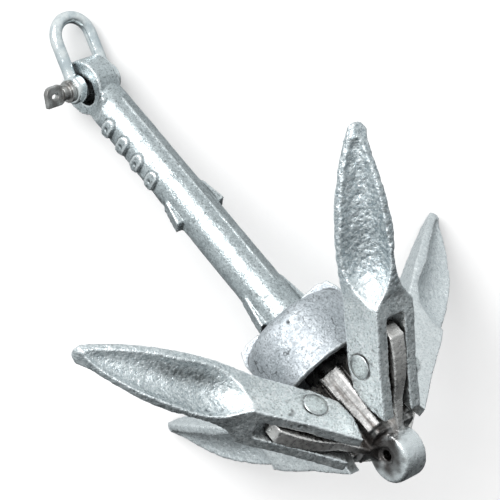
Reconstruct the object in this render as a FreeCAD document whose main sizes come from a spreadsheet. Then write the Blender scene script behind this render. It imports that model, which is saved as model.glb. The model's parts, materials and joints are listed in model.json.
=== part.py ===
"""Folding grapnel anchor in galvanised cast iron, about 2 kg.

Every piece is modelled about the shank: local Z runs along the shank from the nose
towards the shackle, local Z = 0 is the plane of the four fluke pivots, local +X and +Y
are two neighbouring flukes.  One resting placement then lays the open anchor down on
the tips of two flukes and the shackle end, with +Z up and +Y towards the shackle.
Sizes are in millimetres and degrees.
"""
import FreeCAD
import Part
import Sketcher
import os

DIMENSIONS = [
    # shank, a tapering round bar with a flattened eye at its end
    ("shank_low_r", 11.0), ("shank_high_r", 10.0), ("shank_high_z", 194.0),
    ("flash_width", 0.9), ("flash_low_r", 11.1), ("flash_high_r", 10.4), ("flash_low_z", 66.0),
    ("flash_high_z", 182.0),
    ("eye_z", 200.5), ("eye_r", 13.2), ("eye_hole_z", 198.0), ("eye_hole_r", 6.5), ("eye_half", 6.4),
    ("eye_flat_z", 189.0), ("eye_ramp_z", 181.0), ("eye_clear_r", 17.0),
    # raised casting marks on one side of the shank, plain oval pads
    ("mark_z", 141.0), ("mark_pitch", 11.3), ("mark_half", 2.2), ("mark_r", 3.1), ("mark_top", 11.8),
    ("mark_dimple_r", 1.1), ("mark_dimple_top", 10.9),
    ("pip_y", 6.6), ("pip_z", 186.5), ("pip_r", 1.9), ("pip_top", 8.2),
    # lugs that hold the collar, two low and two half-way up the shank
    ("lug_width", 8.0), ("lug_root", 8.0), ("lug_r", 13.5), ("lug_ramp_r", 10.8),
    ("lug_low_z", 51.0), ("lug_low_end_z", 67.5), ("lug_mid_z", 115.0), ("lug_mid_end_z", 128.0),
    # crown: square core, corner ribs, four fins and the nose knob
    ("core_half", 12.0), ("core_low_z", -25.0), ("core_high_z", 12.0), ("core_slope_z", 26.0),
    ("core_corner", 2.5),
    ("rib_low_half", 3.8), ("rib_high_half", 5.4), ("rib_reach", 16.9),
    ("rib_low_z", -22.0), ("rib_high_z", 12.0),
    ("fin_half", 4.7), ("fin_out_x", 49.0), ("fin_out_low_z", -1.5), ("fin_out_high_z", 5.0),
    ("fin_top_x", 36.0), ("fin_top_z", 11.6), ("fin_root_z", 13.0),
    ("fin_belly_x", 24.0), ("fin_belly_z", -18.5), ("fin_belly_r", 60.0), ("fin_end_r", 12.0),
    ("fin_heel_x", 9.0), ("fin_heel_z", -30.0), ("fin_heel_half", 0.8), ("fin_root_half", 4.0),
    ("fin_swell_r", 150.0),
    ("nose_z", -33.0), ("nose_r", 12.0), ("nose_half", 6.8), ("nose_round", 1.8),
    ("nose_hole_r", 2.4), ("nose_dish_r", 4.6), ("nose_dish_deep", 0.8), ("nose_neck_r", 6.8),
    ("nose_hole_z", -31.4),
    # pivots and rivets
    ("pivot_x", 30.0), ("ear_bore_r", 4.08), ("rivet_r", 4.0), ("cheek_bore_r", 4.02),
    ("rivet_head_r", 5.7), ("rivet_head_out", 12.9), ("rivet_edge_out", 12.3), ("rivet_crown_r", 3.8),
    # flukes, drawn along the line from pivot to tip
    ("slope_front_left", 44.5), ("slope_front_right", 40.5), ("slope_back_right", 40.0),
    ("slope_back_left", 43.0), ("fork_half", 11.8), ("slot_half", 5.7), ("slot_end", 22.8),
    ("slot_corner", 2.0), ("slot_bend_x", 20.8), ("slot_flat_y", 3.7),
    ("heel_x", -24.0), ("heel_z", -11.6), ("fork_low_z", -12.2),
    ("fork_neck_x", 21.0), ("fork_neck_z", -14.0), ("neck_x", 31.0), ("neck_low_z", -14.0),
    ("neck_top_z", 6.3), ("boss_x", 9.0), ("boss_z", 7.2), ("boss_back_z", 8.0),
    ("cheek_back_x", -11.3), ("cheek_back_z", 6.0), ("cheek_rest_x", -18.5), ("cheek_rest_z", 0.0),
    ("crest_r", 107.0), ("crest_end_x", 107.5), ("crest_end_z", -3.5),
    ("tip_x", 110.0), ("tip_z", -1.7), ("face_end_x", 108.0), ("face_end_z", 0.2), ("face_r", 430.0),
    ("leaf_r", 139.0), ("leaf_end_x", 107.6), ("leaf_end_y", 3.9), ("leaf_tip_r", 4.6),
    ("margin_x", 118.0), ("margin_back_x", -32.0), ("margin_y", 24.0), ("plan_back_x", -28.0),
    # the scoop on each flank of a blade: centre and radius of its round sections
    ("dish1_x", 26.5), ("dish1_y", 16.4), ("dish1_z", -13.5), ("dish1_r", 3.6),
    ("dish2_x", 31.0), ("dish2_y", 16.0), ("dish2_z", -13.0), ("dish2_r", 7.0),
    ("dish3_x", 36.5), ("dish3_y", 15.8), ("dish3_z", -12.6), ("dish3_r", 11.2),
    ("dish4_x", 43.5), ("dish4_y", 15.6), ("dish4_z", -12.3), ("dish4_r", 13.8),
    ("dish5_x", 64.0), ("dish5_y", 14.6), ("dish5_z", -12.3), ("dish5_r", 12.8),
    ("dish6_x", 84.0), ("dish6_y", 11.5), ("dish6_z", -10.4), ("dish6_r", 9.7),
    ("dish7_x", 96.0), ("dish7_y", 7.5), ("dish7_z", -7.6), ("dish7_r", 5.6),
    ("dish8_x", 103.0), ("dish8_y", 5.6), ("dish8_z", -5.6), ("dish8_r", 2.5),
    ("dish9_x", 106.5), ("dish9_y", 5.8), ("dish9_z", -5.2), ("dish9_r", 0.8),
    # locking collar, a bell with two keyways that let the lugs through
    ("bell_rim_z", 14.5), ("bell_rim_r", 28.4), ("bell_wall_r", 27.7), ("bell_wall_z", 38.4),
    ("bell_shoulder_r", 8.5), ("bell_top_r", 19.6), ("bell_top_z", 46.2),
    ("bell_bore_r", 12.5), ("bell_above_z", 58.0), ("wing_top_z", 50.4), ("hollow_rim_r", 24.6),
    ("hollow_wall_r", 24.0), ("hollow_wall_z", 34.0), ("hollow_low_z", 8.0),
    ("hollow_shoulder_r", 6.5), ("hollow_top_r", 18.5), ("hollow_top_z", 40.2),
    ("wing_half", 6.4), ("wing_top_r", 25.6), ("wing_r", 27.6), ("wing_edge_z", 43.0),
    ("wing_low_z", 36.5), ("wing_step_r", 22.2), ("wing_step_z", 49.2),
    ("key_half", 4.7), ("key_r", 15.3), ("key_low_z", 38.0),
    # shackle with a screw pin
    ("pin_z", 201.2), ("shackle_lean", 28.0), ("bar_r", 3.0), ("leg_x", 10.3), ("bow_z", 22.9),
    ("lug_disc_r", 6.8), ("shackle_bore_r", 3.02), ("pin_end_x", 14.0),
    ("disc_round", 1.2), ("washer_r", 5.3), ("washer_x", 15.6), ("stem_r", 3.3), ("stem_x", 19.0),
    ("tab_x", 17.6), ("tab_neck", 3.2), ("tab_bend_x", 20.0), ("tab_half", 4.9), ("tab_end_x", 28.4),
    ("tab_side_y", 1.4), ("tab_side_x", 24.9), ("tab_round", 3.5), ("tab_thick", 2.8), ("tab_turn", 20.0),
    ("tab_hole_x", 22.5), ("tab_hole_end_x", 24.6), ("tab_hole_half", 1.2), ("tab_hole_r", 1.25),
    # the resting pose
    ("rest_tilt", 26.9), ("rest_x", -1.2493), ("rest_y", -85.8060), ("rest_z", 105.0476),
]

# directions round the shank of the lugs and the keyways, the collar's wings and the parting line
LUG_TURN = 160
WING_TURN = 135
FLASH_TURN = 1
DISH_SECTIONS = 9
THROUGH = 400
FLUKES = (("front_left", 0), ("front_right", 90), ("back_right", 180), ("back_left", 270))

doc = FreeCAD.newDocument("FoldingAnchor")


def make_sheet():
    """The sheet of driving dimensions, one alias to a row."""
    table = doc.addObject("Spreadsheet::Sheet", "Dims")
    for row, (alias, value) in enumerate(DIMENSIONS, start=1):
        table.set("A%d" % row, alias)
        table.set("B%d" % row, str(value))
        table.setAlias("B%d" % row, alias)
    doc.recompute()
    return table


sheet = make_sheet()


def size(word):
    """The number behind an alias, which may carry a minus sign."""
    if word == "0":
        return 0.0
    if word.startswith("-"):
        return -float(sheet.get(word[1:]))
    return float(sheet.get(word))


def cell(word):
    """The expression for an alias, which may carry a minus sign."""
    return "-Dims." + word[1:] if word.startswith("-") else "Dims." + word


def bind(item, **sizes):
    """Tie properties of an object to expressions over the sheet."""
    for prop, expression in sizes.items():
        item.setExpression(prop.replace("__", "."), expression)
    return item


def step(x="0", y="0", z="0", axis="0;0;1", turn="0"):
    """One move: a turn about an axis, then a shift."""
    return ("placement(vector(%s; %s; %s); rotation(vector(%s); %s))" % (x, y, z, axis, turn))


def place(item, *moves):
    """Tie an object's placement to a chain of moves, the outermost first."""
    item.setExpression("Placement", " * ".join(moves))
    return item


REST = step("Dims.rest_x", "Dims.rest_y", "Dims.rest_z", "1;0;0", "-90 - Dims.rest_tilt")
REST_TURN = step(turn="-135")
SHACKLE = [step(z="Dims.pin_z"), step(axis="1;0;0", turn="-Dims.shackle_lean")]
nodes = []


def finish(item, label, *moves):
    """Name a finished piece and lay it down in the resting pose."""
    item.Label = label
    nodes.append(place(item, REST, REST_TURN, *moves))
    return item


# ---------------------------------------------------------------- sketches and features

def new_sketch(body, name, role):
    """An empty sketch on one of the body's own origin planes."""
    sketch = body.newObject("Sketcher::SketchObject", name)
    plane = [f for f in body.Origin.OriginFeatures if f.Role == role][0]
    sketch.AttachmentSupport = [(plane, "")]
    sketch.MapMode = "FlatFace"
    return sketch


def pin_down(sketch, index, end, x, y):
    """Hold one end of a line or arc at the coordinates named by two aliases."""
    for kind, word, axis in (("DistanceX", x, -2), ("DistanceY", y, -1)):
        if word == "0":
            sketch.addConstraint(Sketcher.Constraint("PointOnObject", index, end, axis))
            continue
        number = sketch.addConstraint(
            Sketcher.Constraint(kind, -1, 1, index, end, size(word)))
        sketch.setExpression("Constraints[%d]" % number, cell(word))


def arc_between(start, end, radius, side):
    """The shorter arc between two points; side +1 keeps its centre on the left."""
    chord = end - start
    middle = (start + end) * 0.5
    reach = (radius ** 2 - (chord.Length / 2) ** 2) ** 0.5
    normal = FreeCAD.Vector(-chord.y, chord.x, 0).normalize()
    centre = middle + normal * reach * side
    first, last = (start, end) if side > 0 else (end, start)
    circle = Part.Circle(centre, FreeCAD.Vector(0, 0, 1), radius)
    return Part.ArcOfCircle(circle, circle.parameter(first), circle.parameter(last))


def outline(sketch, corners):
    """A closed outline.  Each corner is (x, y), or (x, y, radius, side) when the edge
    that leads on to the next corner is an arc."""
    count = len(corners)
    spots = [FreeCAD.Vector(size(c[0]), size(c[1]), 0) for c in corners]
    ends = []
    for number, corner in enumerate(corners):
        start, end = spots[number], spots[(number + 1) % count]
        if len(corner) == 2:
            index = sketch.addGeometry(Part.LineSegment(start, end))
            ends.append((index, 1, 2))
            continue
        index = sketch.addGeometry(arc_between(start, end, size(corner[2]), corner[3]))
        ends.append((index, 1, 2) if corner[3] > 0 else (index, 2, 1))
        radius = sketch.addConstraint(Sketcher.Constraint("Radius", index, size(corner[2])))
        sketch.setExpression("Constraints[%d]" % radius, cell(corner[2]))
    for number, corner in enumerate(corners):
        index, start, end = ends[number]
        following = ends[(number + 1) % count]
        sketch.addConstraint(
            Sketcher.Constraint("Coincident", index, end, following[0], following[1]))
        pin_down(sketch, index, start, corner[0], corner[1])
    return sketch


def ring(sketch, x, y, radius):
    """A circle whose centre and radius are named by aliases."""
    centre = FreeCAD.Vector(size(x), size(y), 0)
    index = sketch.addGeometry(
        Part.Circle(centre, FreeCAD.Vector(0, 0, 1), size(radius)))
    number = sketch.addConstraint(Sketcher.Constraint("Radius", index, size(radius)))
    sketch.setExpression("Constraints[%d]" % number, cell(radius))
    pin_down(sketch, index, 3, x, y)
    return sketch


def pad(body, name, sketch, length):
    """A pad that is symmetric about its sketch."""
    feature = body.newObject("PartDesign::Pad", name)
    feature.Profile = sketch
    feature.SideType = "Symmetric"
    return bind(feature, Length=length)


def pocket(body, name, sketch):
    """A cut right through the body, both ways from its sketch."""
    feature = body.newObject("PartDesign::Pocket", name)
    feature.Profile = sketch
    feature.SideType = "Symmetric"
    feature.Type = "Length"
    feature.Length = THROUGH
    return feature


def revolution(body, name, sketch):
    """A full turn about the body's Z axis."""
    feature = body.newObject("PartDesign::Revolution", name)
    feature.Profile = sketch
    axis = [f for f in body.Origin.OriginFeatures if f.Role == "Z_Axis"][0]
    feature.ReferenceAxis = (axis, [""])
    feature.Angle = 360
    return feature


def new_body(name):
    return doc.addObject("PartDesign::Body", name)


def box(name, sizes, low, turn="0"):
    """A box of three sizes with its low corner at a point, turned about Z as a whole."""
    item = bind(doc.addObject("Part::Box", name), Length=sizes[0], Width=sizes[1], Height=sizes[2])
    return place(item, step(turn=turn), step(*low))


def drum(name, radius, height, low, axis="0;0;1", turn="0"):
    """A cylinder of given radius and height with its foot at a point."""
    item = bind(doc.addObject("Part::Cylinder", name), Radius=radius, Height=height)
    return place(item, step(*low, axis=axis, turn=turn))


def fuse(name, shapes):
    item = doc.addObject("Part::MultiFuse", name)
    item.Shapes = shapes
    item.Refine = True
    return item


def cut(name, base, tool):
    item = doc.addObject("Part::Cut", name)
    item.Base, item.Tool = base, tool
    item.Refine = True
    return item


ALONG_X = dict(axis="0;1;0", turn="90")
ALONG_Y = dict(axis="1;0;0", turn="-90")


# ---------------------------------------------------------------- the shank casting

def shank_bar():
    """Round bar, square crown core and the flattened eye, as one turned and cut body."""
    body = new_body("ShankBar")
    outline(new_sketch(body, "BarProfile", "XZ_Plane"),
            [("0", "nose_z"), ("nose_neck_r", "nose_z"), ("core_half", "core_low_z"),
             ("core_half", "core_high_z"), ("shank_low_r", "core_slope_z"),
             ("shank_high_r", "shank_high_z"), ("0", "shank_high_z")])
    revolution(body, "Bar", body.Group[-1])
    pad(body, "EyeDisc", ring(new_sketch(body, "EyeOutline", "YZ_Plane"), "0", "eye_z", "eye_r"),
        "2 * Dims.eye_half")
    for sign in ("", "-"):
        pocket(body, "EyeFlat", outline(
            new_sketch(body, "EyeFlatOutline", "XZ_Plane"),
            [(sign + "eye_half", "eye_flat_z"), (sign + "shank_low_r", "eye_ramp_z"),
             (sign + "eye_clear_r", "eye_ramp_z"), (sign + "eye_clear_r", "pin_z"),
             (sign + "eye_half", "pin_z")]))
    return body


def fin():
    """One fin of the crown, which a fluke's fork straddles: thick at the pivot, thin at the nose."""
    body = new_body("Fin")
    profile = outline(new_sketch(body, "FinProfile", "XZ_Plane"),
                      [("0", "fin_root_z"), ("0", "fin_heel_z"), ("fin_heel_x", "fin_heel_z"),
                       ("fin_belly_x", "fin_belly_z", "fin_belly_r", 1),
                       ("fin_out_x", "fin_out_low_z"), ("fin_out_x", "fin_out_high_z", "fin_end_r", 1),
                       ("fin_top_x", "fin_top_z")])
    pad(body, "FinPlate", profile, "2 * Dims.fin_half")
    bore = ring(new_sketch(body, "FinBore", "XZ_Plane"), "pivot_x", "0", "ear_bore_r")
    pocket(body, "PivotBore", bore)
    swell = new_body("FinSwell")
    pad(swell, "FinSwellPlate", outline(
        new_sketch(swell, "FinSwellOutline", "YZ_Plane"),
        [("-fin_heel_half", "fin_heel_z"), ("fin_heel_half", "fin_heel_z", "fin_swell_r", 1),
         ("fin_root_half", "fin_root_z"), ("-fin_root_half", "fin_root_z", "fin_swell_r", 1)]),
        "4 * Dims.fin_out_x")
    shaped = doc.addObject("Part::Common", "FinShaped")
    shaped.Base, shaped.Tool = body, swell
    return shaped


def rib():
    """A pair of broad corner ribs on opposite corners of the core, narrower towards the nose."""
    body = new_body("Rib")
    pad(body, "RibPlate", outline(
        new_sketch(body, "RibOutline", "YZ_Plane"),
        [("-rib_low_half", "rib_low_z"), ("rib_low_half", "rib_low_z"),
         ("rib_high_half", "rib_high_z"), ("-rib_high_half", "rib_high_z")]), "2 * Dims.rib_reach")
    return body


def crown():
    """Square core with corner ribs, the four fins and the nose knob."""
    core = box("Core", ("2 * Dims.core_half", "2 * Dims.core_half", "Dims.core_high_z - Dims.core_low_z"),
               ("-Dims.core_half", "-Dims.core_half", "Dims.core_low_z"))
    ribs = [place(rib(), step(turn=turn)) for turn in ("45", "135")]
    fins = [place(fin(), step(turn=str(turn))) for _, turn in FLUKES]
    knob = drum("Knob", "Dims.nose_r", "2 * Dims.nose_half", ("-Dims.nose_half", "0", "Dims.nose_z"),
                **ALONG_X)
    return ([rounded("CoreRounded", core, "core_corner"), rounded("KnobRounded", knob, "nose_round")]
            + ribs + fins)


def rounded(name, base, alias):
    """Round the edges of a drum (both rims) or of a box (the four upright edges)."""
    doc.recompute()
    item = doc.addObject("Part::Fillet", name)
    item.Base = base
    edges = []
    for number, edge in enumerate(base.Shape.Edges, start=1):
        upright = (edge.Curve.TypeId == "Part::GeomLine"
                   and abs(edge.tangentAt(edge.FirstParameter).z) > 0.9)
        if edge.Curve.TypeId == "Part::GeomCircle" or (upright and base.TypeId == "Part::Box"):
            edges.append((number, size(alias), size(alias)))
    item.Edges = edges
    return item


def lug(name, low, high, turn):
    """A wedge lug: square shoulder facing the crown, ramp facing the shackle."""
    item = doc.addObject("Part::Wedge", name)
    bind(item, Xmin="0", Xmax="Dims.lug_width", X2min="0", X2max="Dims.lug_width",
         Ymin="0", Ymax="Dims.%s - Dims.%s" % (high, low),
         Zmin="Dims.lug_root", Zmax="Dims.lug_r", Z2min="Dims.lug_root", Z2max="Dims.lug_ramp_r")
    return place(item, step(z="Dims." + low, turn=str(turn)), step(axis="1;1;1", turn="120"),
                 step("-Dims.lug_width / 2"))


def marks():
    """Raised oval pads with a dimple, cast on one side of the shank and rounded to it."""
    pads, dimples = [], []
    for number in range(4):
        middle = "Dims.mark_z + %d * Dims.mark_pitch" % number
        for sign in ("-", ""):
            pads.append(drum("MarkEnd", "Dims.mark_r", "2 * Dims.mark_top",
                             ("0", sign + "Dims.mark_half", middle), **ALONG_X))
        pads.append(box("MarkPad", ("2 * Dims.mark_top", "2 * Dims.mark_half", "2 * Dims.mark_r"),
                        ("0", "-Dims.mark_half", middle + " - Dims.mark_r")))
        dimples.append(drum("MarkDimple", "Dims.mark_dimple_r", "2",
                            ("Dims.mark_dimple_top", "0", middle), **ALONG_X))
    envelope = drum("MarkEnvelope", "Dims.mark_top", "Dims.eye_z", ("0", "0", "0"))
    trimmed = doc.addObject("Part::Common", "MarksTrimmed")
    trimmed.Base, trimmed.Tool = fuse("MarksRaw", pads), envelope
    pip = drum("Pip", "Dims.pip_r", "Dims.pip_top", ("0", "Dims.pip_y", "Dims.pip_z"), **ALONG_X)
    return [trimmed, pip], dimples


def flash():
    """The thin parting line that the mould leaves along two sides of the shank."""
    body = new_body("Flash")
    pad(body, "FlashLine", outline(new_sketch(body, "FlashOutline", "YZ_Plane"),
                                   [("-flash_low_r", "flash_low_z"), ("flash_low_r", "flash_low_z"),
                                    ("flash_high_r", "flash_high_z"), ("-flash_high_r", "flash_high_z")]),
        "Dims.flash_width")
    return place(body, step(turn=str(FLASH_TURN)))


def make_shank():
    pads, dimples = marks()
    lugs = [lug("Lug", low, high, turn) for turn in (LUG_TURN, LUG_TURN + 180)
            for low, high in (("lug_low_z", "lug_low_end_z"), ("lug_mid_z", "lug_mid_end_z"))]
    solid = fuse("ShankSolid", [shank_bar(), flash()] + crown() + lugs + pads)
    holes = [drum("EyeHole", "Dims.eye_hole_r", "4 * Dims.eye_half",
                  ("-2 * Dims.eye_half", "0", "Dims.eye_hole_z"), **ALONG_X),
             drum("LineHole", "Dims.nose_hole_r", "4 * Dims.nose_half",
                  ("-2 * Dims.nose_half", "0", "Dims.nose_hole_z"), **ALONG_X)]
    for start in ("Dims.nose_half - Dims.nose_dish_deep", "Dims.nose_dish_deep - 2 * Dims.nose_half"):
        place = (start, "0", "Dims.nose_hole_z")
        holes.append(drum("LineDish", "Dims.nose_dish_r", "Dims.nose_half", place, **ALONG_X))
    shank = cut("Shank", solid, fuse("ShankHoles", holes + dimples))
    return finish(shank, "shank")


# ---------------------------------------------------------------- the flukes

def at_pivot(corner, turn):
    """The moves that take a fluke's own frame to its pivot, opened to its own slope."""
    return (step(turn=str(turn)),
            step("Dims.pivot_x", axis="0;1;0", turn="-Dims.slope_" + corner))


def fluke_stock(label):
    """Side profile padded, then trimmed to the leaf-shaped plan, slotted and bored."""
    body = new_body(label + "_Stock")
    profile = outline(new_sketch(body, "SideProfile", "XZ_Plane"),
                      [("heel_x", "heel_z"), ("0", "fork_low_z"), ("fork_neck_x", "fork_neck_z"),
                       ("neck_x", "neck_low_z", "crest_r", 1), ("crest_end_x", "crest_end_z"),
                       ("tip_x", "tip_z"), ("face_end_x", "face_end_z", "face_r", 1),
                       ("neck_x", "neck_top_z"), ("boss_x", "boss_z"), ("0", "boss_back_z"),
                       ("cheek_back_x", "cheek_back_z"), ("cheek_rest_x", "cheek_rest_z")])
    pad(body, "Blank", profile, "2 * Dims.margin_y - 10")
    plan = new_sketch(body, "Plan", "XY_Plane")
    outline(plan, [("margin_back_x", "-margin_y"), ("margin_x", "-margin_y"),
                   ("margin_x", "margin_y"), ("margin_back_x", "margin_y")])
    outline(plan, [("plan_back_x", "-fork_half"), ("neck_x", "-fork_half", "leaf_r", 1),
                   ("leaf_end_x", "-leaf_end_y", "leaf_tip_r", 1),
                   ("leaf_end_x", "leaf_end_y", "leaf_r", 1),
                   ("neck_x", "fork_half"), ("plan_back_x", "fork_half")])
    pocket(body, "PlanTrim", plan)
    slot = outline(new_sketch(body, "Slot", "XY_Plane"),
                   [("margin_back_x", "-slot_half"), ("slot_bend_x", "-slot_half", "slot_corner", 1),
                    ("slot_end", "-slot_flat_y"), ("slot_end", "slot_flat_y", "slot_corner", 1),
                    ("slot_bend_x", "slot_half"), ("margin_back_x", "slot_half")])
    pocket(body, "ForkSlot", slot)
    pocket(body, "RivetBore", ring(new_sketch(body, "Bore", "XZ_Plane"), "0", "0", "cheek_bore_r"))
    return body


def dish(label):
    """The hollow scooped out of one flank of the blade, lofted through round sections."""
    rounds = []
    for number in range(1, DISH_SECTIONS + 1):
        item = bind(doc.addObject("Part::Circle", "DishRound"), Radius="Dims.dish%d_r" % number)
        centre = ["Dims.dish%d_%s" % (number, axis) for axis in "xyz"]
        place(item, step(*centre, **ALONG_X))
        rounds.append(item)
    scoop = doc.addObject("Part::Loft", label + "_Scoop")
    scoop.Sections = rounds
    scoop.Solid = True
    mirror = doc.addObject("Part::Mirroring", label + "_ScoopMirror")
    mirror.Source = scoop
    mirror.Normal = (0, 1, 0)
    return fuse(label + "_Scoops", [scoop, mirror])


def make_fluke(corner, turn):
    label = "fluke_" + corner
    blade = cut(label + "_Blade", fluke_stock(label), dish(label))
    return finish(blade, label, *at_pivot(corner, turn))


def make_rivet(corner, turn):
    """The pivot rivet, peened over a fork's two cheeks."""
    name = "rivet_" + corner
    stem = drum(name + "_Stem", "Dims.rivet_r", "2 * Dims.fork_half",
                ("0", "-Dims.fork_half", "0"), **ALONG_Y)
    heads = []
    for side in (1, -1):
        profile = new_body(name + "_Head")
        outline(new_sketch(profile, "HeadProfile", "XZ_Plane"),
                [("0", "fork_half"), ("rivet_head_r", "fork_half"), ("rivet_head_r", "rivet_edge_out"),
                 ("rivet_crown_r", "rivet_head_out"), ("0", "rivet_head_out")])
        revolution(profile, "Head", profile.Group[-1])
        place(profile, step(axis="1;0;0", turn=str(-90 * side)))
        heads.append(profile)
    return finish(fuse(name + "_Solid", [stem] + heads), name, *at_pivot(corner, turn))


# ---------------------------------------------------------------- the locking collar

def make_collar():
    bell = new_body("Bell")
    outline(new_sketch(bell, "BellProfile", "XZ_Plane"),
            [("0", "bell_rim_z"), ("bell_rim_r", "bell_rim_z"),
             ("bell_wall_r", "bell_wall_z", "bell_shoulder_r", 1), ("bell_top_r", "bell_top_z"),
             ("0", "bell_top_z")])
    revolution(bell, "BellOuter", bell.Group[-1])
    wings = new_body("Wings")
    edge = [("wing_step_r", "wing_top_z"), ("wing_step_r", "wing_step_z"), ("wing_top_r", "wing_step_z"),
            ("wing_r", "wing_edge_z"), ("wing_r", "wing_low_z")]
    mirrored = [("-" + x, y) for x, y in reversed(edge)]
    pad(wings, "WingPlate", outline(new_sketch(wings, "WingProfile", "XZ_Plane"), mirrored + edge),
        "2 * Dims.wing_half")
    place(wings, step(turn=str(WING_TURN)))
    hollow = new_body("Hollow")
    outline(new_sketch(hollow, "HollowProfile", "XZ_Plane"),
            [("0", "hollow_low_z"), ("hollow_rim_r", "hollow_low_z"),
             ("hollow_wall_r", "hollow_wall_z", "hollow_shoulder_r", 1),
             ("hollow_top_r", "hollow_top_z"), ("bell_bore_r", "hollow_top_z"),
             ("bell_bore_r", "bell_above_z"), ("0", "bell_above_z")])
    revolution(hollow, "HollowTool", hollow.Group[-1])
    key = new_body("Keyways")
    pad(key, "KeySlot", outline(new_sketch(key, "KeyOutline", "XZ_Plane"),
                                [("-key_r", "key_low_z"), ("key_r", "key_low_z"),
                                 ("key_r", "bell_above_z"), ("-key_r", "bell_above_z")]),
        "2 * Dims.key_half")
    place(key, step(turn=str(LUG_TURN)))
    solid = fuse("CollarSolid", [bell, wings])
    return finish(cut("Collar", solid, fuse("CollarHollows", [hollow, key])), "collar")


# ---------------------------------------------------------------- the shackle

def make_bow():
    """D shackle: two straight legs, a round bow and a flat disc round each pin hole."""
    bow = bind(doc.addObject("Part::Torus", "BowArc"), Radius1="Dims.leg_x", Radius2="Dims.bar_r")
    bow.Angle3 = 180
    place(bow, step(z="Dims.bow_z", axis="1;0;0", turn="90"))
    solids = [bow]
    for side in ("-", ""):
        solids.append(drum("Leg", "Dims.bar_r", "Dims.bow_z", (side + "Dims.leg_x", "0", "0")))
        disc = drum("Disc", "Dims.lug_disc_r", "2 * Dims.bar_r",
                    (side + "Dims.leg_x - Dims.bar_r", "0", "0"), **ALONG_X)
        solids.append(rounded("DiscRounded", disc, "disc_round"))
    bore = drum("ShackleBore", "Dims.shackle_bore_r", "6 * Dims.leg_x", ("-3 * Dims.leg_x", "0", "0"),
                **ALONG_X)
    return finish(cut("Bow", fuse("BowSolid", solids), bore), "shackle_bow", *SHACKLE)


def make_pin():
    """Screw pin: shaft, round shoulder and a flat tab with a small oval hole."""
    shaft = drum("PinShaft", "Dims.bar_r", "Dims.pin_end_x + Dims.stem_x", ("-Dims.pin_end_x", "0", "0"),
                 **ALONG_X)
    washer = drum("PinShoulder", "Dims.washer_r", "Dims.washer_x - Dims.leg_x - Dims.bar_r",
                  ("Dims.leg_x + Dims.bar_r", "0", "0"), **ALONG_X)
    stem = drum("PinStem", "Dims.stem_r", "Dims.stem_x - Dims.washer_x + 0.5",
                ("Dims.washer_x - 0.5", "0", "0"), **ALONG_X)
    tab = new_body("PinTab")
    pad(tab, "TabPlate", outline(
        new_sketch(tab, "TabOutline", "XZ_Plane"),
        [("tab_x", "-tab_neck"), ("tab_bend_x", "-tab_half"), ("tab_end_x", "-tab_half"),
         ("tab_end_x", "tab_side_y", "tab_round", 1), ("tab_side_x", "tab_half"),
         ("tab_bend_x", "tab_half"), ("tab_x", "tab_neck")]), "Dims.tab_thick")
    pocket(tab, "TabHole", outline(
        new_sketch(tab, "TabHoleOutline", "XZ_Plane"),
        [("tab_hole_x", "-tab_hole_half"), ("tab_hole_end_x", "-tab_hole_half", "tab_hole_r", 1),
         ("tab_hole_end_x", "tab_hole_half"), ("tab_hole_x", "tab_hole_half", "tab_hole_r", 1)]))
    place(tab, step(axis="1;0;0", turn="-Dims.tab_turn"))
    return finish(fuse("Pin", [shaft, washer, stem, tab]), "shackle_pin", *SHACKLE)


# ---------------------------------------------------------------- all pieces together

def write_parts():
    """Check every object and write one file for each piece."""
    doc.recompute()
    broken = [o.Name for o in doc.Objects if "Invalid" in o.State or "Error" in o.State]
    if broken:
        raise SystemExit("failed objects: %s" % broken)
    for node in nodes:
        if node.Shape.isNull() or not node.Shape.isValid() or len(node.Shape.Solids) != 1:
            raise SystemExit("bad shape: %s, %d solids" % (node.Label, len(node.Shape.Solids)))
    os.makedirs("parts", exist_ok=True)
    for node in nodes:
        node.Shape.exportStep("parts/%s.step" % node.Label)
        print("%-20s %9.1f mm3" % (node.Label, node.Shape.Volume))


make_shank()
make_collar()
for fluke_corner, fluke_turn in FLUKES:
    make_fluke(fluke_corner, fluke_turn)
    make_rivet(fluke_corner, fluke_turn)
make_bow()
make_pin()
write_parts()
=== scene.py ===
"""The looks of a folding grapnel anchor: galvanised skins over its castings, bright zinc on its shackle.

Metres throughout, in the part's own frame: +Z up, the anchor lying open, its shackle towards +Y.
Shapes on the shank and the flukes are worked out in millimetres, on the axes of the part's joints.
"""

import functools
import json
import math

import bpy
import numpy as np
from mathutils import Matrix, Vector


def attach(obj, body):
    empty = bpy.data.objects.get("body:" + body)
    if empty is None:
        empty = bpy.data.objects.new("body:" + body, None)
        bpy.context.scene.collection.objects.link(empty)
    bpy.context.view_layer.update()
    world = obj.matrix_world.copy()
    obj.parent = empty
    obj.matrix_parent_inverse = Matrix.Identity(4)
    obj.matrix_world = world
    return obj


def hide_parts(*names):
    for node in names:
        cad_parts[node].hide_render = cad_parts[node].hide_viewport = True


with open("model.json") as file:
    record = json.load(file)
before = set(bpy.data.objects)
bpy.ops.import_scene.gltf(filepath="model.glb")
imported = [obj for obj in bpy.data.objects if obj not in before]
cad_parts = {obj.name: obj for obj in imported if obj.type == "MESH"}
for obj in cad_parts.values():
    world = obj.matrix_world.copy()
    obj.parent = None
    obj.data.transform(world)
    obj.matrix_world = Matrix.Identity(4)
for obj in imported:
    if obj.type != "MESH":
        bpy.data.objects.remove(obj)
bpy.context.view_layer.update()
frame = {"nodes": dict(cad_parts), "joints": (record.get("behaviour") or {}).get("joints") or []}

MM = 0.001
JOINTS = {joint["name"]: joint for joint in frame["joints"]}
CORNERS = ("front_left", "front_right", "back_right", "back_left")
PIVOTS = {corner: np.array(JOINTS["fluke_" + corner + "_fold"]["pos_m"]) for corner in CORNERS}
HINGES = {corner: np.array(JOINTS["fluke_" + corner + "_fold"]["axis"]) for corner in CORNERS}

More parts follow.
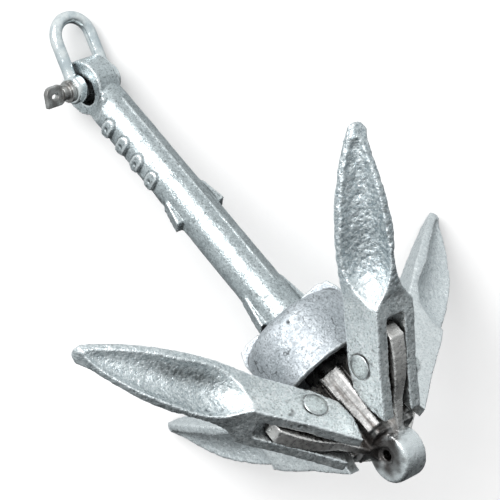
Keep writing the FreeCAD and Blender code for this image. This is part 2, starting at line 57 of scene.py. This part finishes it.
# The shank's own axes: the origin is level with the fluke pivots, ALONG runs up to the eye.
CROWN = sum(PIVOTS.values()) / len(PIVOTS)
ALONG = np.array(JOINTS["collar_slide"]["axis"])
ACROSS = np.array(JOINTS["shackle_swing"]["axis"])
UPRIGHT = np.cross(ALONG, ACROSS)

# Voxels of the remeshed surfaces, and the gap that is welded shut before.
COARSER = 1.0
CASTING_VOXEL = 0.6 * MM * COARSER
SMALL_VOXEL = 0.36 * MM * COARSER
WELD_GAP = 0.002 * MM

# Rounds of smoothing for edges, for finding bends and for soft blades, and the bend of a sharp edge.
EDGE_ROUNDS = 5
BEND_ROUNDS = 8
SOFT_ROUNDS = 60
SHARP_BEND = 0.25 * MM

# The bar of the shank: heights above the pivots and radii in mm, bearings round it in degrees.
BAR_HEIGHTS, BAR_RADII = (68, 180), (0, 11.5)
SEAM_BEARINGS, SEAM_WIDTH, SEAM_RISE = (91, -89), (-0.5, 1.0), 0.4
SUNK_WIDTH, SUNK_DEPTH, SUNK_STAIN = (4, 38), 0.3, 0.35
MARKS_HEIGHTS, MARKS_BEARINGS, MARKS_RISE = (128, 178), (-70, -15), 0.35
LUG_HEIGHTS, LUG_RADII, LUG_STAIN = (60, 150), (12.5, 40), 0.4

# The crown: ribs worn on the diagonals, fins between them, and a pale nose darkened on one side by soot and
# painted shade.
# Heights, radii and reach in mm, bearings in degrees from the nearest diagonal.
CROWN_HEIGHTS = (-26, 24)
RIB_BEARINGS = (0, 24)
FIN_RADII = (11, 60)
NOSE_HEIGHTS = (-60, -27)
# Centre and reach of the dark patch by the nose: soot and painted shade in the recess there.
SOOT_AND_SHADE_SPOT = CROWN + (9 * ACROSS + UPRIGHT - 28.5 * ALONG) * MM
SOOT_AND_SHADE_REACH = 11

# The flukes, in mm from the hinge: the blade, past the arm, and a speckled band of painted shadow along one
# side of one dish.
BLADE_REACH = (44, 500)
SHADOWED_FLUKE, SHADOW_ACROSS, SHADOW_REACH = "front_left", (-8, -6.5), (50, 68)

# How dented and how pale each fluke is, and the groove from just inside to just outside its rivet's rim.
DENTED = dict(zip(CORNERS, (0.35, 1.0, 0.5, 0.5)))
PALE = dict(zip(CORNERS, (0.0, 0.0, 0.6, 0.6)))
GROOVE_INSIDE, GROOVE_OUTSIDE, GROOVE_DEPTH = 0.3, 0.5, 0.3

# Colours of the zinc, and of what lies on it.
LIGHT_ZINC, DARK_ZINC = (0.78, 0.825, 0.83), (0.6, 0.645, 0.655)
LIGHT_BAR, DARK_BAR = (0.58, 0.63, 0.645), (0.42, 0.465, 0.48)
LIGHT_BELL, DARK_BELL = (0.6, 0.63, 0.66), (0.48, 0.515, 0.545)
LIGHT_RIVET, DARK_RIVET = (0.62, 0.66, 0.66), (0.5, 0.54, 0.54)
LIGHT_SHACKLE, DARK_SHACKLE = (0.95, 0.985, 0.985), (0.66, 0.73, 0.76)
LIGHT_PIN, DARK_PIN = (0.5, 0.5, 0.49), (0.22, 0.205, 0.195)
BLADE_BLUE, BLADE_GREY = (0.32, 0.39, 0.43), (0.8, 0.85, 0.87)
RUBBED_ZINC = (0.86, 0.9, 0.91)
PALE_ZINC = (0.93, 0.96, 0.97)
WARM_ZINC = (0.86, 0.8, 0.76)
WORN_IRON, BRIGHT_STREAK, DARK_STREAK = (0.16, 0.154, 0.15), (0.38, 0.372, 0.368), (0.08, 0.074, 0.07)
# Soot with painted shade by the nose and painted shade in rivet grooves, then the painted shade of slots
# and hollows.
SOOT_AND_SHADE = (0.075, 0.062, 0.058)
DEEP_SHADE = (0.03, 0.027, 0.025)

CAMERA_AIM = Vector((0.00647, -0.00792, 0.07609))
CAMERA_AZIMUTH, CAMERA_ELEVATION, CAMERA_ROLL = 161.316, 82.966, 157.999
CAMERA_DISTANCE = 1.4194
CAMERA_LENS = 224.63
LAMP_AZIMUTH, LAMP_ELEVATION, LAMP_DISTANCE = 185, 42, 2.0
LAMP_WIDTH, LAMP_HEIGHT, LAMP_POWER = 1.3, 1.6, 30
FLOOR_SIZE = 12.0
DARK_PAPER, LIGHT_PAPER = (0.86, 0.86, 0.86), (0.9, 0.9, 0.9)
ROOM = (1.02, 1.02, 1.02)
BRIGHT_SIDE = Vector((0.27, 0.80, 0.25))
WALLS = (
    (0.02, 0.022, 0.024),
    (0.15, 0.163, 0.168),
    (0.52, 0.557, 0.57),
    (0.72, 0.76, 0.77),
    (0.8, 0.84, 0.85),
    (0.86, 0.895, 0.9),
)


# ---------------------------------------------------------------- places on the anchor

def round_shank(points):
    """Distance from the shank's axis, bearing round it in degrees, and height above the pivots, in mm."""
    out = (points - CROWN) / MM
    x, y = out @ ACROSS, out @ UPRIGHT
    return np.hypot(x, y), np.degrees(np.arctan2(y, x)), out @ ALONG


def round_hinge(points, corner):
    """Distance along a fluke's hinge from its pivot, and distance from the hinge's axis, in mm."""
    out = (points - PIVOTS[corner]) / MM
    across = out @ HINGES[corner]
    return across, np.linalg.norm(out - across[:, None] * HINGES[corner], axis=1)


def window(value, low, high, fade):
    """1 from low to high, falling to 0 over the fade on either side."""
    return np.clip(np.minimum(value - low, high - value) / fade + 1, 0, 1)


def blade_share(points, corner):
    """0 on a fluke's arm, rising to 1 on its blade."""
    reach = np.linalg.norm(points - PIVOTS[corner], axis=1) / MM
    return window(reach, *BLADE_REACH, 12)


def soft_share(points, corner):
    """How strongly a fluke is rounded off: its blade only, and most where it is most dented."""
    return DENTED[corner] * blade_share(points, corner)


def rivet_head(corner):
    """The radius of a fluke's rivet head, in mm."""
    return round_hinge(vertices_of(frame["nodes"]["rivet_" + corner].data), corner)[1].max()


# ---------------------------------------------------------------- noise and meshes

HASH_X, HASH_Y, HASH_Z, HASH_SEED = 374761393, 668265263, 2147483647, 1274126177
LOW_32_BITS, LOW_16_BITS = 0xFFFFFFFF, 0xFFFF


def lattice(x, y, z, seed):
    """A repeatable random number from -1 to 1 for each whole-number point, by mixing its bits."""
    n = x * HASH_X + y * HASH_Y + z * HASH_Z + seed * HASH_SEED
    n = (n ^ (n >> 13)) * HASH_SEED & LOW_32_BITS
    n = (n ^ (n >> 16)) * HASH_Y & LOW_32_BITS
    return ((n ^ (n >> 15)) & LOW_16_BITS) / (LOW_16_BITS / 2) - 1.0


def lumps(points, size, seed):
    """Smooth noise from -1 to 1, with bumps about one size across."""
    p = points / size
    cell = np.floor(p).astype(np.int64)
    f = p - cell
    f = f * f * (3 - 2 * f)
    total = np.zeros(len(points))
    for dx in (0, 1):
        for dy in (0, 1):
            for dz in (0, 1):
                share = (np.abs(1 - dx - f[:, 0]) * np.abs(1 - dy - f[:, 1]) * np.abs(1 - dz - f[:, 2]))
                total += share * lattice(cell[:, 0] + dx, cell[:, 1] + dy, cell[:, 2] + dz, seed)
    return total


def vertices_of(mesh):
    """A mesh's vertices, one row each."""
    co = np.empty(len(mesh.vertices) * 3, np.float32)
    mesh.vertices.foreach_get("co", co)
    return co.reshape(-1, 3).astype(float)


def normals_of(mesh):
    """A mesh's vertex normals, one row each."""
    n = np.empty(len(mesh.vertices) * 3, np.float32)
    mesh.vertex_normals.foreach_get("vector", n)
    return n.reshape(-1, 3).astype(float)


def move_vertices(mesh, co):
    """Puts a mesh's vertices at the rows of co."""
    mesh.vertices.foreach_set("co", co.astype(np.float32).ravel())
    mesh.update()


def add_attribute(mesh, name, values):
    """Gives each vertex a number that a material reads by name."""
    attribute = mesh.attributes.new(name, "FLOAT", "POINT")
    attribute.data.foreach_set("value", np.asarray(values, np.float32))


def neighbour_mean(mesh):
    """A function that averages a value over each vertex's neighbours."""
    edges = np.empty(len(mesh.edges) * 2, np.int64)
    mesh.edges.foreach_get("vertices", edges)
    a, b = edges[0::2], edges[1::2]
    count = np.bincount(a, minlength=len(mesh.vertices)) + np.bincount(b, minlength=len(mesh.vertices))
    count = np.maximum(count, 1)

    def mean(values):
        out = np.empty_like(values)
        for k in range(values.shape[1]):
            v = values[:, k]
            out[:, k] = np.bincount(a, v[b], len(count)) + np.bincount(b, v[a], len(count))
        return out / count[:, None]

    return mean


def remeshed(node, voxel):
    """An even, closed copy of a CAD node's surface, as a new object."""
    source = frame["nodes"][node]
    work = bpy.data.objects.new("work", source.data.copy())
    bpy.context.scene.collection.objects.link(work)
    weld = work.modifiers.new("weld", "WELD")
    weld.merge_threshold = WELD_GAP
    voxels = work.modifiers.new("voxels", "REMESH")
    voxels.mode = "VOXEL"
    voxels.voxel_size = voxel
    voxels.use_smooth_shade = True
    mesh = bpy.data.meshes.new_from_object(work.evaluated_get(bpy.context.evaluated_depsgraph_get()))
    bpy.data.objects.remove(work)
    mesh.name = node
    skin = bpy.data.objects.new(node + "_skin", mesh)
    bpy.context.scene.collection.objects.link(skin)
    return skin


def relax(mesh, rounds, share=1.0):
    """Rounds edges off with little shrinking, by smoothing forwards and then partly back, by the share."""
    mean = neighbour_mean(mesh)
    co = vertices_of(mesh)
    for _ in range(rounds):
        co += 0.55 * share * (mean(co) - co)
        co -= 0.45 * share * (mean(co) - co)
    move_vertices(mesh, co)


def bend_of(mesh):
    """How far each vertex stands out of the smoothed surface round it, in metres."""
    mean = neighbour_mean(mesh)
    co = smooth = vertices_of(mesh)
    for _ in range(BEND_ROUNDS):
        smooth = mean(smooth)
    return ((co - smooth) * normals_of(mesh)).sum(1)


# ---------------------------------------------------------------- surfaces

def cast_skin(node, voxel, rough, seed, soften=None, shape=None):
    """The node's surface as an as-cast one: rounded edges, uneven faces, sand grain, pits and chips.

    soften says how strongly each point is smoothed further, and shape adds a piece's own relief, in mm.
    Heights of the layers are in mm too, for a roughness of 1, and each takes its own number after the seed.
    """
    skin = remeshed(node, voxel)
    mesh = skin.data
    relax(mesh, EDGE_ROUNDS)
    if soften is not None:
        relax(mesh, SOFT_ROUNDS, soften(vertices_of(mesh))[:, None])
    edge = np.clip(bend_of(mesh) / SHARP_BEND, -1, 1)
    co, normal = vertices_of(mesh), normals_of(mesh)
    wave = 0.16 * lumps(co, 9 * MM, seed) + 0.12 * lumps(co, 4 * MM, seed + 1)
    grain = 0.11 * lumps(co, 2.0 * MM, seed + 2) + 0.06 * lumps(co, 1.3 * MM, seed + 3)
    pit = np.clip(lumps(co, 2.3 * MM, seed + 4) - 0.5, 0, 1) * np.clip(lumps(co, 14 * MM, seed + 5), 0, 1)
    chip = np.clip(edge, 0, 1) * np.clip(lumps(co, 4 * MM, seed + 6), 0, 1)
    shift = rough * (wave + grain - 1.4 * pit - 0.28 * chip)
    if shape is not None:
        shift += shape(mesh, co, seed)
    move_vertices(mesh, co + normal * (shift * MM)[:, None])
    add_attribute(mesh, "edge", edge)
    add_attribute(mesh, "pit", np.clip(4 * pit, 0, 1))
    return skin


def shank_shape(mesh, points, seed):
    """Relief of the bar, in mm: the mould's parting line with a sunk strip beside it, and ragged marks.

    Stains the strip, the marks and the lugs, and passes the crown on to crown_wear_and_shade.
    """
    radius, bearing, height = round_shank(points)
    ragged = lumps(points, 3 * MM, seed + 30)
    bar = window(height, *BAR_HEIGHTS, 5) * window(radius, *BAR_RADII, 0.5)
    shift, stain_and_shadow = np.zeros(len(points)), np.zeros(len(points))
    for seam in SEAM_BEARINGS:
        off = (bearing - seam + 180) % 360 - 180
        line = (0.8 + 0.3 * ragged) * window(off, *SEAM_WIDTH, 2.5)
        sunk = window(off, *SUNK_WIDTH, 2)
        shift += bar * (SEAM_RISE * line - SUNK_DEPTH * sunk)
        stain_and_shadow += SUNK_STAIN * bar * sunk
    marked = window(height, *MARKS_HEIGHTS, 4) * window(bearing, *MARKS_BEARINGS, 8)
    shift += MARKS_RISE * marked * lumps(points, 1.8 * MM, seed + 31)
    stain_and_shadow += marked * np.clip(1.1 * lumps(points, 3.4 * MM, seed + 34), 0, 1)
    stain_and_shadow += LUG_STAIN * window(height, *LUG_HEIGHTS, 2) * window(radius, *LUG_RADII, 0.5)
    speckled = 0.8 + 0.5 * lumps(points, 1.4 * MM, seed + 35)
    add_attribute(mesh, "stain_and_shadow", np.clip(stain_and_shadow * speckled, 0, 1))
    crown_wear_and_shade(mesh, points, ragged, seed)
    return shift


def crown_wear_and_shade(mesh, points, ragged, seed):
    """Marks the crown's worn, streaked ribs, its warm-coloured fins, and the pale nose with its dark patch
    of soot and painted shade.
    """
    radius, bearing, height = round_shank(points)
    out = points - CROWN
    drawn = np.stack([out @ ACROSS, out @ UPRIGHT, out @ ALONG / 20], 1)
    streak = lumps(drawn, 1.2 * MM, seed + 32) + 0.6 * lumps(drawn, 2.2 * MM, seed + 33)
    crown = window(height, *CROWN_HEIGHTS, 3)
    rib = crown * window(np.abs((bearing + 360) % 90 - 45), *RIB_BEARINGS, 5)
    add_attribute(mesh, "worn", rib)
    add_attribute(mesh, "streak", streak * rib)
    add_attribute(mesh, "warm", (crown - rib) * window(radius, *FIN_RADII, 2))
    add_attribute(mesh, "pale", window(height, *NOSE_HEIGHTS, 3))
    away = np.linalg.norm(points - SOOT_AND_SHADE_SPOT, axis=1) / MM
    add_attribute(mesh, "soot_and_shade", np.clip(1.5 - away / SOOT_AND_SHADE_REACH + 0.35 * ragged, 0, 1))


def blade_shape(mesh, points, seed, corner):
    """Relief of a fluke, in mm: foil-like dents over the blade, and a groove round the rivet's head.

    Marks the blade, painted shade in the groove, and a speckled band of painted shadow in one dish.
    """
    blade = blade_share(points, corner)
    add_attribute(mesh, "blade", blade * (0.4 + 0.6 * DENTED[corner]))
    add_attribute(mesh, "pale", np.full(len(points), PALE[corner]))
    ragged = lumps(points, 3 * MM, seed + 42)
    across, reach = round_hinge(points, corner)
    head = rivet_head(corner)
    groove = window(reach, head - GROOVE_INSIDE, head + GROOVE_OUTSIDE, 0.6)
    groove *= np.clip(0.75 + 0.6 * ragged, 0, 1)
    # Painted shade in the groove round the rivet's head.
    add_attribute(mesh, "soot_and_shade", 0.75 * groove)
    # Painted shadow: a speckled dark band along one side of one dish, under its rim.
    if corner == SHADOWED_FLUKE:
        speckled = np.clip(0.72 + 0.5 * lumps(points, 0.9 * MM, seed + 43), 0, 1)
        stain_and_shadow = window(across, *SHADOW_ACROSS, 3) * window(reach, *SHADOW_REACH, 14) * speckled
        add_attribute(mesh, "stain_and_shadow", stain_and_shadow)
    dents = 0.14 * lumps(points, 3.6 * MM, seed + 40) + 0.24 * lumps(points, 1.6 * MM, seed + 41)
    return DENTED[corner] * blade * dents - GROOVE_DEPTH * groove


# ---------------------------------------------------------------- materials

class Nodes:
    """Short calls for building one material's node tree."""

    def __init__(self, name):
        self.material = bpy.data.materials.new(name)
        self.material.use_nodes = True
        self.tree = self.material.node_tree
        self.shader = self.tree.nodes["Principled BSDF"]
        self.position = self.add("ShaderNodeTexCoord").outputs["Object"]

    def add(self, kind, **inputs):
        """A new node, with inputs named as in the editor, each space written as an underscore."""
        node = self.tree.nodes.new(kind)
        for name, value in inputs.items():
            self.set(node.inputs[name.replace("_", " ")], value)
        return node

    def set(self, socket, value):
        """Links another node's output to a socket, or gives it a plain value."""
        if isinstance(value, bpy.types.NodeSocket):
            self.tree.links.new(value, socket)
        else:
            socket.default_value = value

    def finish(self, colour, roughness, normal):
        """Connects the shader, as bare metal, and gives the material."""
        self.set(self.shader.inputs["Base Color"], colour)
        self.set(self.shader.inputs["Roughness"], roughness)
        self.set(self.shader.inputs["Metallic"], 1.0)
        self.set(self.shader.inputs["Normal"], normal)
        return self.material

    def noise(self, size, detail=3.0, roughness=0.55):
        """Noise with features about one size across, in metres."""
        node = self.add("ShaderNodeTexNoise", Scale=1.0 / size, Detail=detail, Roughness=roughness)
        self.set(node.inputs["Vector"], self.position)
        return node.outputs["Fac"]

    def openness(self, reach):
        """1 on an open face, falling towards 0 in slots and corners within that reach."""
        node = self.add("ShaderNodeAmbientOcclusion", Distance=reach)
        node.samples = 6
        return node.outputs["AO"]

    def cracks(self, size, width):
        """1 along thin wandering lines between cells of that size, 0 elsewhere."""
        wander = self.add("ShaderNodeVectorMath")
        wander.operation = "MULTIPLY_ADD"
        drift = self.add("ShaderNodeTexNoise", Scale=2.5 / size, Detail=3.0)
        self.set(drift.inputs["Vector"], self.position)
        self.set(wander.inputs[0], drift.outputs["Color"])
        wander.inputs[1].default_value = (0.5 * size,) * 3
        self.set(wander.inputs[2], self.position)
        node = self.add("ShaderNodeTexVoronoi", Scale=1.0 / size)
        node.feature = "DISTANCE_TO_EDGE"
        self.set(node.inputs["Vector"], wander.outputs["Vector"])
        return self.steps(node.outputs["Distance"], 0.0, width / size, 1.0, 0.0)

    def cells(self, size):
        """A random grey for each crystal of that size."""
        node = self.add("ShaderNodeTexVoronoi", Scale=1.0 / size)
        self.set(node.inputs["Vector"], self.position)
        split = self.add("ShaderNodeSeparateColor")
        self.set(split.inputs["Color"], node.outputs["Color"])
        return split.outputs["Red"]

    def steps(self, value, low, high, to_low=0.0, to_high=1.0):
        """value from low..high, smoothly, to to_low..to_high."""
        node = self.add("ShaderNodeMapRange", Value=value, From_Min=low, From_Max=high,
                        To_Min=to_low, To_Max=to_high)
        node.interpolation_type = "SMOOTHSTEP"
        return node.outputs["Result"]

    def math(self, operation, a, b):
        """One sum on two numbers or outputs."""
        node = self.tree.nodes.new("ShaderNodeMath")
        node.operation = operation
        self.set(node.inputs[0], a)
        self.set(node.inputs[1], b)
        return node.outputs["Value"]

    def times(self, a, b):
        """a multiplied by b."""
        return self.math("MULTIPLY", a, b)

    def most(self, a, b):
        """The larger of a and b."""
        return self.math("MAXIMUM", a, b)

    def mix(self, share, a, b):
        """Colour a where the share is 0, b where it is 1."""
        node = self.tree.nodes.new("ShaderNodeMix")
        node.data_type = "RGBA"
        self.set(node.inputs["Factor"], share)
        self.set(node.inputs["A"], (*a, 1.0) if isinstance(a, tuple) else a)
        self.set(node.inputs["B"], (*b, 1.0) if isinstance(b, tuple) else b)
        return node.outputs["Result"]

    def attribute(self, name):
        """The number that add_attribute stored, or 0 on a mesh without it."""
        node = self.tree.nodes.new("ShaderNodeAttribute")
        node.attribute_name = name
        return node.outputs["Fac"]

    def bump(self, height, distance, strength, under=None):
        """A normal tilted by that height, on top of another normal if one is given."""
        node = self.add("ShaderNodeBump", Strength=strength, Distance=distance, Height=height)
        if under is not None:
            self.set(node.inputs["Normal"], under)
        return node.outputs["Normal"]


def shaded(colour, share):
    """A colour made darker, by multiplying it."""
    return tuple(share * c for c in colour)


def mottled(n, light, dark, fine):
    """Galvanising as it sets: cloudy, finely speckled, with frosty crystals."""
    tone = n.mix(n.steps(n.noise(11 * MM, 4.0, 0.6), 0.3, 0.7), dark, light)
    tone = n.mix(n.steps(fine, 0.52, 0.3, 0.0, 0.75), tone, shaded(dark, 0.4))
    frost = n.times(n.steps(n.cells(0.9 * MM), 0.4, 1.0), 0.5)
    return n.mix(frost, tone, tuple(min(1.0, 1.3 * c) for c in light))


def dirt_and_crease_shade(n, cracked):
    """Where it is darkened: dirt as specks in patches, pits and cracks in some castings, and painted shade
    inside concave corners.
    """
    speck = n.steps(n.noise(1.1 * MM, 5.0, 0.75), 0.61, 0.68)
    patch = n.steps(n.noise(8 * MM, 2.0), 0.45, 0.66)
    amount = n.most(n.times(speck, patch), n.attribute("pit"))
    if cracked:
        here = n.steps(n.noise(9 * MM, 2.0), 0.56, 0.62)
        crack = n.times(n.cracks(17 * MM, 0.35 * MM), here)
        amount = n.most(amount, n.times(crack, cracked))
    # Painted shade: darker where the surface bends inwards, in creases and inside corners.
    return n.most(amount, n.steps(n.attribute("edge"), -0.3, -1.0, 0.0, 0.7))


def foiled(n, tone, black, rub):
    """Chipped edges, foil-like blades, stains, and a band of painted shadow in one dish, then edges rubbed
    pale, less so on a blade.
    """
    chipped = n.steps(n.attribute("edge"), 0.1, 0.4)
    flake = n.times(chipped, n.steps(n.noise(1.6 * MM, 3.0), 0.6, 0.64))
    tone = n.mix(n.times(flake, 0.85), tone, black)
    foil = n.mix(n.steps(n.noise(1.3 * MM, 3.0, 0.65), 0.38, 0.6), BLADE_BLUE, BLADE_GREY)
    tone = n.mix(n.times(n.attribute("blade"), 0.75), tone, foil)
    tone = n.mix(n.times(n.attribute("stain_and_shadow"), 0.9), tone, black)
    return n.mix(n.times(rub, n.steps(n.attribute("blade"), 0.0, 1.0, 1.0, 0.45)), tone, RUBBED_ZINC)


def worn(n, tone):
    """Pale and warm areas, ribs worn to streaked iron, soot and painted shade by the nose, painted shade
    round the rivets, and painted shade in slots and hollows.
    """
    streak = n.attribute("streak")
    tone = n.mix(n.times(n.attribute("pale"), 0.7), tone, PALE_ZINC)
    tone = n.mix(n.times(n.attribute("warm"), 0.7), tone, WARM_ZINC)
    tone = n.mix(n.times(n.attribute("worn"), 0.9), tone, WORN_IRON)
    tone = n.mix(n.steps(streak, 0.2, 0.7, 0.0, 0.9), tone, BRIGHT_STREAK)
    tone = n.mix(n.steps(streak, -0.1, -0.5, 0.0, 0.9), tone, DARK_STREAK)
    # Soot and painted shade by the nose, and painted shade in the groove round each rivet's head.
    tone = n.mix(n.steps(n.attribute("soot_and_shade"), 0.1, 0.9, 0.0, 0.93), tone, SOOT_AND_SHADE)
    # Painted shade: near black in narrow slots and deep hollows, such as inside the bell.
    slot_shade = n.steps(n.openness(7 * MM), 0.5, 0.12, 0.0, 0.9)
    hollow_shade = n.steps(n.openness(30 * MM), 0.3, 0.08, 0.0, 0.95)
    return n.mix(n.most(slot_shade, hollow_shade), tone, DEEP_SHADE)


def zinc(name, light, dark, rough, grain, cracked=0.0):
    """Hot-dip galvanised casting: frosty mottling, grain, dark pits, dirt, rubbed edges, and painted shade
    in creases, slots and hollows.
    """
    n = Nodes(name)
    black = shaded(dark, 0.16)
    fine = n.noise(0.8 * MM, 2.0, 0.6)
    coarse = n.noise(2.2 * MM, 4.0, 0.65)
    # Dirt, and the painted shade of concave creases.
    tone = n.mix(dirt_and_crease_shade(n, cracked), mottled(n, light, dark, fine), black)
    rub = n.steps(n.attribute("edge"), 0.3, 0.85, 0.0, 0.7)
    tone = worn(n, foiled(n, tone, black, rub))
    gloss = n.steps(coarse, 0.3, 0.7, rough - 0.12, rough + 0.12)
    gloss = n.math("SUBTRACT", gloss, n.times(n.most(rub, n.attribute("blade")), 0.12))
    dented = n.steps(n.attribute("blade"), 0.0, 1.0, 0.55 * grain, 1.2 * grain)
    dents = n.bump(coarse, 0.9 * MM, dented)
    return n.finish(tone, gloss, n.bump(fine, 0.4 * MM, grain, dents))


def plated(name, light, dark, rough):
    """Bright zinc plating on a forging: smooth, with faint long-wave unevenness and scuffs."""
    n = Nodes(name)
    tone = n.mix(n.steps(n.noise(6 * MM, 3.0), 0.35, 0.7), light, dark)
    scuff = n.steps(n.noise(0.8 * MM, 5.0, 0.75), 0.62, 0.74)
    tone = n.mix(n.times(scuff, 0.5), tone, shaded(dark, 0.4))
    gloss = n.steps(n.noise(1.5 * MM, 3.0), 0.3, 0.7, rough - 0.05, rough + 0.09)
    return n.finish(tone, gloss, n.bump(n.noise(3.5 * MM, 2.0), 0.3 * MM, 0.6))


# ---------------------------------------------------------------- stage

def direction(azimuth, elevation):
    a, e = math.radians(azimuth), math.radians(elevation)
    return Vector((math.sin(a) * math.cos(e), -math.cos(a) * math.cos(e), math.sin(e)))


def add_camera():
    """A long lens almost straight above the anchor, rolled so that the shackle is at the top left."""
    data = bpy.data.cameras.new("camera")
    data.lens = CAMERA_LENS
    camera = bpy.data.objects.new("camera", data)
    back = direction(CAMERA_AZIMUTH, CAMERA_ELEVATION)
    a = math.radians(CAMERA_AZIMUTH)
    right = Vector((math.cos(a), math.sin(a), 0))
    up = back.cross(right)
    roll = math.radians(CAMERA_ROLL)
    x = math.cos(roll) * right + math.sin(roll) * up
    y = back.cross(x)
    turn = Matrix((x, y, back)).transposed().to_4x4()
    camera.matrix_world = Matrix.Translation(CAMERA_AIM + back * CAMERA_DISTANCE) @ turn
    bpy.context.scene.collection.objects.link(camera)
    bpy.context.scene.camera = camera
    data.clip_start, data.clip_end = 0.01, 50.0


def add_floor():
    """A sheet of pale paper, which the metal doesn't mirror."""
    mesh = bpy.data.meshes.new("floor")
    r = FLOOR_SIZE / 2
    mesh.from_pydata([(-r, -r, 0), (r, -r, 0), (r, r, 0), (-r, r, 0)], [], [(0, 1, 2, 3)])
    floor = bpy.data.objects.new("floor", mesh)
    bpy.context.scene.collection.objects.link(floor)
    n = Nodes("floor_paper")
    n.set(n.shader.inputs["Base Color"], n.mix(n.noise(0.03), DARK_PAPER, LIGHT_PAPER))
    n.set(n.shader.inputs["Roughness"], 0.85)
    n.set(n.shader.inputs["Specular IOR Level"], 0.15)
    mesh.materials.append(n.material)
    floor.visible_glossy = False


def add_lamp():
    """One large soft lamp, which the camera doesn't see."""
    data = bpy.data.lights.new("key", "AREA")
    data.shape = "RECTANGLE"
    data.size, data.size_y = LAMP_WIDTH, LAMP_HEIGHT
    data.energy = LAMP_POWER
    lamp = bpy.data.objects.new("key", data)
    back = direction(LAMP_AZIMUTH, LAMP_ELEVATION)
    lamp.location = CAMERA_AIM + back * LAMP_DISTANCE
    lamp.rotation_mode = "QUATERNION"
    lamp.rotation_quaternion = (-back).to_track_quat("-Z", "Y")
    lamp.visible_camera = False
    bpy.context.scene.collection.objects.link(lamp)


def add_world():
    """A pale room that lights the floor evenly, with walls for the metal to mirror, darkest away from
    BRIGHT_SIDE.
    """
    world = bpy.data.worlds.new("studio")
    bpy.context.scene.world = world
    world.use_nodes = True
    tree = world.node_tree
    coord = tree.nodes.new("ShaderNodeTexCoord")
    towards = tree.nodes.new("ShaderNodeVectorMath")
    towards.operation = "DOT_PRODUCT"
    towards.inputs[1].default_value = BRIGHT_SIDE.normalized()
    tree.links.new(coord.outputs["Generated"], towards.inputs[0])
    half = tree.nodes.new("ShaderNodeMath")
    half.operation = "MULTIPLY_ADD"
    half.inputs[1].default_value, half.inputs[2].default_value = 0.5, 0.5
    tree.links.new(towards.outputs["Value"], half.inputs[0])
    ramp = tree.nodes.new("ShaderNodeValToRGB")
    tree.links.new(half.outputs["Value"], ramp.inputs["Fac"])
    stops = ramp.color_ramp.elements
    stops[0].color, stops[1].color = (*WALLS[0], 1), (*WALLS[-1], 1)
    for k, wall in enumerate(WALLS[1:-1], start=1):
        stops.new(k / (len(WALLS) - 1)).color = (*wall, 1)
    path = tree.nodes.new("ShaderNodeLightPath")
    mix = tree.nodes.new("ShaderNodeMix")
    mix.data_type = "RGBA"
    mix.inputs["A"].default_value = (*ROOM, 1)
    tree.links.new(path.outputs["Is Glossy Ray"], mix.inputs["Factor"])
    tree.links.new(ramp.outputs["Color"], mix.inputs["B"])
    tree.links.new(mix.outputs["Result"], tree.nodes["Background"].inputs["Color"])


# ---------------------------------------------------------------- build

def dress(piece, node, body, material):
    """Puts a finished piece in the place of its CAD node."""
    piece.data.materials.clear()
    piece.data.materials.append(material)
    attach(piece, body)
    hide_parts(node)


cast_zinc = zinc("cast_zinc", LIGHT_ZINC, DARK_ZINC, rough=0.42, grain=0.7)
bar_zinc = zinc("bar_zinc", LIGHT_BAR, DARK_BAR, rough=0.34, grain=0.45)
bell_zinc = zinc("bell_zinc", LIGHT_BELL, DARK_BELL, rough=0.58, grain=0.5, cracked=0.8)
rivet_zinc = zinc("rivet_zinc", LIGHT_RIVET, DARK_RIVET, rough=0.45, grain=0.3)
bright_zinc = plated("bright_zinc", LIGHT_SHACKLE, DARK_SHACKLE, rough=0.14)
tab_zinc = plated("tab_zinc", LIGHT_PIN, DARK_PIN, rough=0.3)

shank = cast_skin("shank", CASTING_VOXEL, rough=0.5, seed=11, shape=shank_shape)
dress(shank, "shank", "shank", bar_zinc)
collar = cast_skin("collar", CASTING_VOXEL, rough=0.6, seed=23)
dress(collar, "collar", "collar", bell_zinc)
for i, corner in enumerate(CORNERS):
    fluke = "fluke_" + corner
    soften = functools.partial(soft_share, corner=corner)
    shape = functools.partial(blade_shape, corner=corner)
    skin = cast_skin(fluke, CASTING_VOXEL, rough=0.9, seed=101 + 17 * i, soften=soften, shape=shape)
    dress(skin, fluke, fluke, cast_zinc)
    rivet = cast_skin("rivet_" + corner, SMALL_VOXEL, rough=0.35, seed=301 + 17 * i)
    dress(rivet, "rivet_" + corner, fluke, rivet_zinc)
bow = cast_skin("shackle_bow", SMALL_VOXEL, rough=0.3, seed=501)
dress(bow, "shackle_bow", "shackle", bright_zinc)
pin = cast_skin("shackle_pin", SMALL_VOXEL, rough=0.25, seed=601)
dress(pin, "shackle_pin", "shackle", tab_zinc)

add_camera()
add_floor()
add_lamp()
add_world()
bpy.context.scene.view_settings.view_transform = "Standard"
